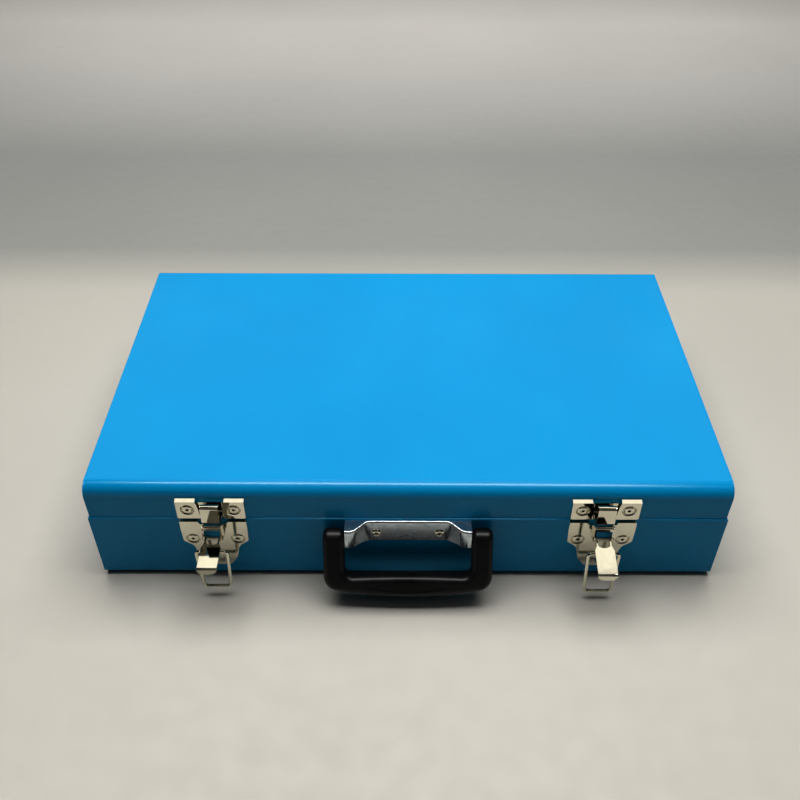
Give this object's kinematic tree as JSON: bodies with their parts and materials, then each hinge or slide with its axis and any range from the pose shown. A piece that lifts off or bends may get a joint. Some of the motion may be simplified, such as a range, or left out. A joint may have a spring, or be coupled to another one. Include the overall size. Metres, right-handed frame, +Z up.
{
  "type": "metal tool box",
  "caption": "Shallow hinged sheet-steel tool case with a rounded front edge, a folding carry handle and duck-bill wire latches.",
  "frame": {"origin": "on the table, under the middle of the whole box with its handle, latches and hinges", "axes": "+Z up, +X to the right seen from the front, front face towards -Y"},
  "size_m": [0.4218, 0.2954, 0.0854],
  "materials": {
    "blue_paint": "semi-gloss baked enamel",
    "nickel_plate": "bright nickel plate",
    "zinc_plate": "bluish zinc plate",
    "handle_plastic": "satin black moulding",
    "foot_rubber": "matt"
  },
  "bodies": {
    "base": {"base_end_left": "blue_paint", "base_end_right": "blue_paint", "base_pan": "blue_paint", "bracket_rivets": "nickel_plate", "foot_front_left": "foot_rubber", "foot_front_right": "foot_rubber", "foot_rear_left": "foot_rubber", "foot_rear_right": "foot_rubber", "foot_rivets": "nickel_plate", "handle_bracket": "zinc_plate", "handle_pins": "nickel_plate", "hinge_base_leaf_left": "zinc_plate", "hinge_base_leaf_right": "zinc_plate", "hinge_base_rivets_left": "zinc_plate", "hinge_base_rivets_right": "zinc_plate", "hinge_pin_left": "zinc_plate", "hinge_pin_right": "zinc_plate", "latch_plate_left": "nickel_plate", "latch_plate_right": "nickel_plate", "latch_plate_rivets_left": "nickel_plate", "latch_plate_rivets_right": "nickel_plate", "lever_pin_left": "nickel_plate", "lever_pin_right": "nickel_plate"},
    "lid": {"hinge_lid_leaf_left": "zinc_plate", "hinge_lid_leaf_right": "zinc_plate", "hinge_lid_rivets_left": "zinc_plate", "hinge_lid_rivets_right": "zinc_plate", "lid_cover": "blue_paint", "lid_end_left": "blue_paint", "lid_end_right": "blue_paint", "strike_left": "nickel_plate", "strike_right": "nickel_plate", "strike_rivets_left": "nickel_plate", "strike_rivets_right": "nickel_plate"},
    "handle": {"handle_grip": "handle_plastic"},
    "lever_left": {"lever_left": "nickel_plate"},
    "lever_right": {"lever_right": "nickel_plate"},
    "bail_left": {"bail_left": "nickel_plate"},
    "bail_right": {"bail_right": "nickel_plate"}
  },
  "joints": [
    {"name": "lid_hinge", "type": "hinge", "parent": "base", "child": "lid", "pos_m": [0, 0.14505, 0.0585], "axis": [-1, 0, 0], "range_deg": [0, 180]},
    {"name": "handle_pivot", "type": "hinge", "parent": "base", "child": "handle", "pos_m": [0, -0.11855, 0.048], "axis": [-1, 0, 0], "range_deg": [-24, 150]},
    {"name": "lever_pivot_left", "type": "hinge", "parent": "base", "child": "lever_left", "pos_m": [-0.1285, -0.11915, 0.0474], "axis": [-1, 0, 0], "range_deg": [-84, 66]},
    {"name": "bail_pivot_left", "type": "hinge", "parent": "lever_left", "child": "bail_left", "pos_m": [-0.1285, -0.12865, 0.0454], "axis": [-1, 0, 0], "range_deg": [-66, 84]},
    {"name": "lever_pivot_right", "type": "hinge", "parent": "base", "child": "lever_right", "pos_m": [0.1285, -0.11915, 0.0474], "axis": [-1, 0, 0], "range_deg": [-70, 79]},
    {"name": "bail_pivot_right", "type": "hinge", "parent": "lever_right", "child": "bail_right", "pos_m": [0.1285, -0.12792, 0.04324], "axis": [-1, 0, 0], "range_deg": [-79, 70]}
  ],
  "couplings": [
    {"joint": "bail_pivot_left", "follows": "lever_pivot_left", "ratio": -1},
    {"joint": "bail_pivot_right", "follows": "lever_pivot_right", "ratio": -1}
  ]
}
